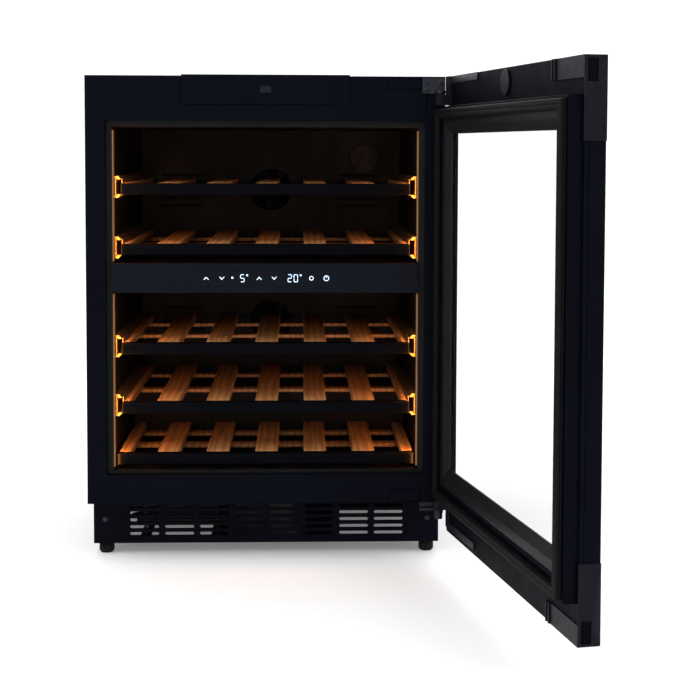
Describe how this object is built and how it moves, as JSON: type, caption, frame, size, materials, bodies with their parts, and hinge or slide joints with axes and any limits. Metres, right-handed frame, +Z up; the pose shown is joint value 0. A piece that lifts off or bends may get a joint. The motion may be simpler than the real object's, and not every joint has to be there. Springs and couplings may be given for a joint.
{
  "type": "wine cooler",
  "caption": "Under-counter dual-zone wine cooler: black cabinet, glass door standing open, wooden pull-out shelves on slides, control strip, base grille and feet.",
  "frame": {"origin": "on the floor, at the middle of the four levelling feet", "axes": "+Z up, -Y out of the front, +X to the hinge side"},
  "size_m": [0.7427, 1.1571, 0.822],
  "materials": {
    "frame_black": "satin black",
    "cabinet_steel": "satin black",
    "zinc_steel": "zinc coated",
    "liner_plastic": "matt black",
    "foam": "rigid polyurethane foam",
    "foot_rubber": "moulded",
    "bright_steel": "bright zinc",
    "hinge_steel": "black plated",
    "panel_black": "satin black",
    "pusher_plastic": "matt",
    "display_glass": "gloss",
    "icon_light": "lit",
    "led_diffuser": "lit, warm",
    "slide_steel": "yellow zinc coated",
    "shelf_black": "satin black",
    "beech_wood": "oiled",
    "fan_plastic": "matt",
    "compressor_paint": "gloss black",
    "condenser_tube": "satin black",
    "door_black": "satin black",
    "bracket_steel": "satin dark grey",
    "pane_glass": "clear",
    "bead_plastic": "ribbed",
    "gasket_rubber": "soft"
  },
  "bodies": {
    "cabinet": {"front_frame": "frame_black", "outer_wrap": "cabinet_steel", "back_panel": "zinc_steel", "body_floor": "zinc_steel", "inner_liner": "liner_plastic", "foam_insulation": "foam", "base_tray": "frame_black", "plinth_grille": "frame_black", "foot_nuts": "bright_steel", "opener_housing": "frame_black", "hinge_bracket_top": "hinge_steel", "hinge_bracket_bottom": "hinge_steel", "hinge_washer": "pusher_plastic", "hinge_covers": "frame_black", "cabinet_screws": "hinge_steel", "zone_divider": "liner_plastic", "control_bezel": "panel_black", "display_lens": "display_glass", "touch_icons": "icon_light", "light_strips": "led_diffuser", "slide_outers": "slide_steel", "shelf_frame_5": "shelf_black", "shelf_slats_5": "beech_wood", "air_covers": "liner_plastic", "charcoal_filter": "pusher_plastic", "compressor": "compressor_paint", "compressor_feet": "foot_rubber", "condenser": "condenser_tube", "fan_shroud": "pusher_plastic", "rear_guard": "frame_black", "power_inlet": "pusher_plastic"},
    "door": {"door_skin": "door_black", "handle_rail": "door_black", "corner_brackets": "bracket_steel", "inner_frame": "door_black", "glass_panes": "pane_glass", "glass_bead": "bead_plastic", "door_gasket": "gasket_rubber", "door_hinges": "hinge_steel", "strike_plate": "bracket_steel"},
    "opener_pusher": {"opener_pusher": "pusher_plastic"},
    "shelf_1": {"shelf_frame_1": "shelf_black", "shelf_slats_1": "beech_wood"},
    "slide_1": {"slide_middle_1": "slide_steel"},
    "shelf_2": {"shelf_frame_2": "shelf_black", "shelf_slats_2": "beech_wood"},
    "slide_2": {"slide_middle_2": "slide_steel"},
    "shelf_3": {"shelf_frame_3": "shelf_black", "shelf_slats_3": "beech_wood"},
    "slide_3": {"slide_middle_3": "slide_steel"},
    "shelf_4": {"shelf_frame_4": "shelf_black", "shelf_slats_4": "beech_wood"},
    "slide_4": {"slide_middle_4": "slide_steel"},
    "fan_upper": {"fan_upper": "fan_plastic"},
    "fan_lower": {"fan_lower": "fan_plastic"},
    "condenser_fan": {"condenser_fan": "fan_plastic"},
    "foot_front_left": {"foot_front_left": "foot_rubber"},
    "foot_front_right": {"foot_front_right": "foot_rubber"},
    "foot_rear_left": {"foot_rear_left": "foot_rubber"},
    "foot_rear_right": {"foot_rear_right": "foot_rubber"}
  },
  "joints": [
    {"name": "door_hinge", "type": "hinge", "parent": "cabinet", "child": "door", "pos_m": [0.289, -0.2974, 0.45], "axis": [0, 0, 1], "range_deg": [-100.8, 3.2]},
    {"name": "opener_push", "type": "slide", "parent": "cabinet", "child": "opener_pusher", "axis": [0, -1, 0], "range_m": [0, 0.04]},
    {"name": "shelf_1_pull", "type": "slide", "parent": "cabinet", "child": "shelf_1", "axis": [0, -1, 0], "range_m": [0, 0.3]},
    {"name": "slide_1_follow", "type": "slide", "parent": "cabinet", "child": "slide_1", "axis": [0, -1, 0], "range_m": [0, 0.15]},
    {"name": "shelf_2_pull", "type": "slide", "parent": "cabinet", "child": "shelf_2", "axis": [0, -1, 0], "range_m": [0, 0.3]},
    {"name": "slide_2_follow", "type": "slide", "parent": "cabinet", "child": "slide_2", "axis": [0, -1, 0], "range_m": [0, 0.15]},
    {"name": "shelf_3_pull", "type": "slide", "parent": "cabinet", "child": "shelf_3", "axis": [0, -1, 0], "range_m": [0, 0.3]},
    {"name": "slide_3_follow", "type": "slide", "parent": "cabinet", "child": "slide_3", "axis": [0, -1, 0], "range_m": [0, 0.15]},
    {"name": "shelf_4_pull", "type": "slide", "parent": "cabinet", "child": "shelf_4", "axis": [0, -1, 0], "range_m": [0, 0.3]},
    {"name": "slide_4_follow", "type": "slide", "parent": "cabinet", "child": "slide_4", "axis": [0, -1, 0], "range_m": [0, 0.15]},
    {"name": "fan_upper_spin", "type": "hinge", "parent": "cabinet", "child": "fan_upper", "pos_m": [0, 0.21, 0.61875], "axis": [0, 1, 0], "continuous": true},
    {"name": "fan_lower_spin", "type": "hinge", "parent": "cabinet", "child": "fan_lower", "pos_m": [0, 0.21, 0.35675], "axis": [0, 1, 0], "continuous": true},
    {"name": "condenser_fan_spin", "type": "hinge", "parent": "cabinet", "child": "condenser_fan", "pos_m": [-0.07437, 0.17125, 0.094], "axis": [0, 1, 0], "continuous": true},
    {"name": "foot_front_left_screw", "type": "slide", "parent": "cabinet", "child": "foot_front_left", "axis": [0, 0, -1], "range_m": [0, 0.03]},
    {"name": "foot_front_right_screw", "type": "slide", "parent": "cabinet", "child": "foot_front_right", "axis": [0, 0, -1], "range_m": [0, 0.03]},
    {"name": "foot_rear_left_screw", "type": "slide", "parent": "cabinet", "child": "foot_rear_left", "axis": [0, 0, -1], "range_m": [0, 0.03]},
    {"name": "foot_rear_right_screw", "type": "slide", "parent": "cabinet", "child": "foot_rear_right", "axis": [0, 0, -1], "range_m": [0, 0.03]}
  ],
  "couplings": [
    {"joint": "slide_1_follow", "follows": "shelf_1_pull", "ratio": 0.5},
    {"joint": "slide_2_follow", "follows": "shelf_2_pull", "ratio": 0.5},
    {"joint": "slide_3_follow", "follows": "shelf_3_pull", "ratio": 0.5},
    {"joint": "slide_4_follow", "follows": "shelf_4_pull", "ratio": 0.5}
  ]
}
